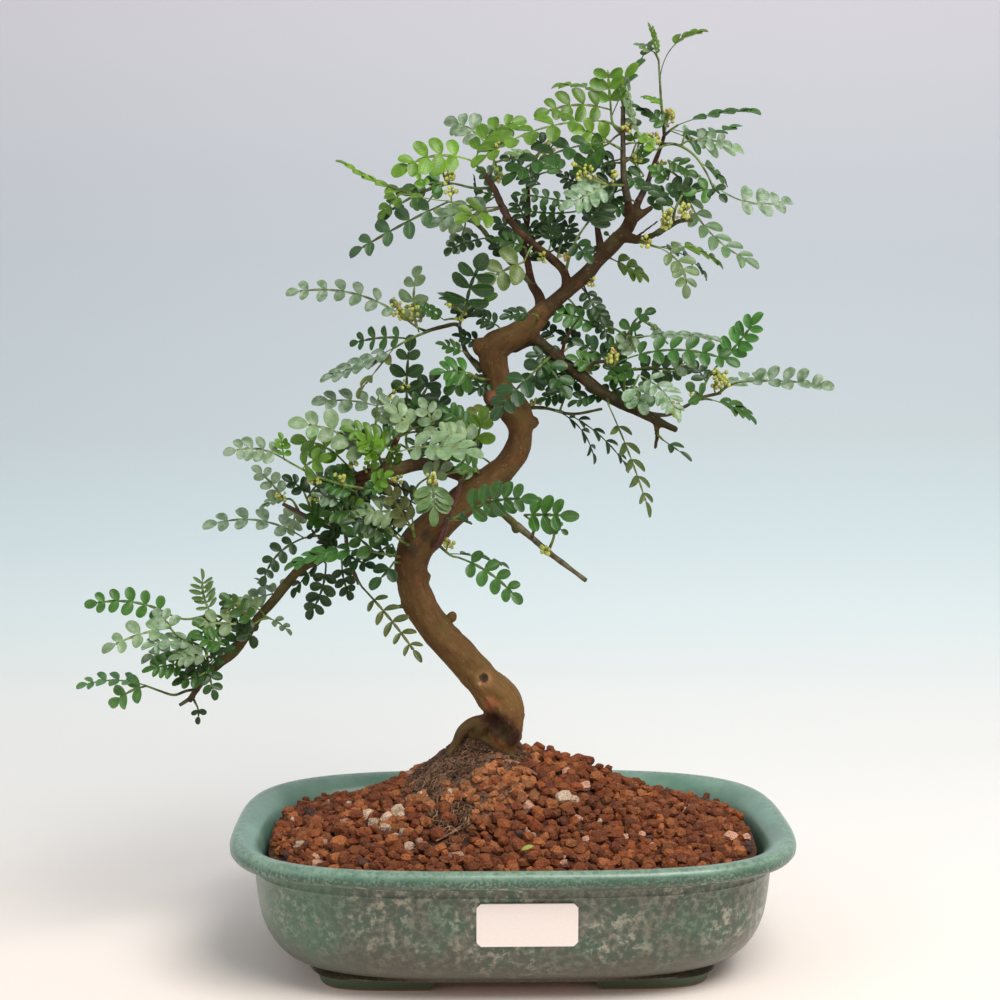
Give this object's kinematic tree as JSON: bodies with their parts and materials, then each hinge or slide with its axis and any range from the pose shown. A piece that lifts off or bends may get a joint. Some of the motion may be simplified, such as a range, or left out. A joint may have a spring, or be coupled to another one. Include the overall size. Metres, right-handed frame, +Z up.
{
  "type": "japanese pepper bonsai in a glazed oval pot",
  "caption": "Leaning Japanese pepper bonsai with a winding trunk, pinnate leaves and flower buds, planted in granular soil in a glazed oval pot on short feet.",
  "frame": {"origin": "on the resting plane under the middle of the whole piece, tree and pot together", "axes": "+Z up, -Y towards the front of the pot, +X to the right seen from the front, along the pot's length"},
  "size_m": [0.3732, 0.2028, 0.4679],
  "materials": {
    "glazed_stoneware": "gloss",
    "net_plastic": "matte",
    "blank_label": "matte",
    "root_earth": "matte",
    "soil_granule": "matte",
    "bark": "matte",
    "leaf": "satin",
    "flower_bud": "matte"
  },
  "bodies": {
    "root": {"pot": "glazed_stoneware", "drain_net_left": "net_plastic", "drain_net_right": "net_plastic", "label": "blank_label", "root_ball": "root_earth", "soil_granules": "soil_granule", "trunk": "bark", "leafy_spray_01": "leaf", "leafy_spray_02": "leaf", "leafy_spray_03": "leaf", "leafy_spray_04": "leaf", "leafy_spray_05": "leaf", "leafy_spray_06": "leaf", "leafy_spray_07": "leaf", "leafy_spray_08": "leaf", "leafy_spray_09": "leaf", "leafy_spray_10": "leaf", "leafy_spray_11": "leaf", "leafy_spray_12": "leaf", "leafy_spray_13": "leaf", "leafy_spray_14": "leaf", "leafy_spray_15": "leaf", "leafy_spray_16": "leaf", "leafy_spray_17": "leaf", "leafy_spray_18": "leaf", "leafy_spray_19": "leaf", "leafy_spray_20": "leaf", "leafy_spray_21": "leaf", "leafy_spray_22": "leaf", "leafy_spray_23": "leaf", "leafy_spray_24": "leaf", "leafy_spray_25": "leaf", "leafy_spray_26": "leaf", "leafy_spray_27": "leaf", "leafy_spray_28": "leaf", "leafy_spray_29": "leaf", "leafy_spray_30": "leaf", "leafy_spray_31": "leaf", "leafy_spray_32": "leaf", "leafy_spray_33": "leaf", "leafy_spray_34": "leaf", "leafy_spray_35": "leaf", "leafy_spray_36": "leaf", "leafy_spray_37": "leaf", "leafy_spray_38": "leaf", "leafy_spray_39": "leaf", "leafy_spray_40": "leaf", "leafy_spray_41": "leaf", "bud_bunch_01": "flower_bud", "bud_bunch_02": "flower_bud", "bud_bunch_03": "flower_bud", "bud_bunch_04": "flower_bud", "bud_bunch_05": "flower_bud", "bud_bunch_06": "flower_bud", "bud_bunch_07": "flower_bud", "bud_bunch_08": "flower_bud", "bud_bunch_09": "flower_bud", "bud_bunch_10": "flower_bud", "bud_bunch_11": "flower_bud", "bud_bunch_12": "flower_bud"}
  },
  "joints": []
}
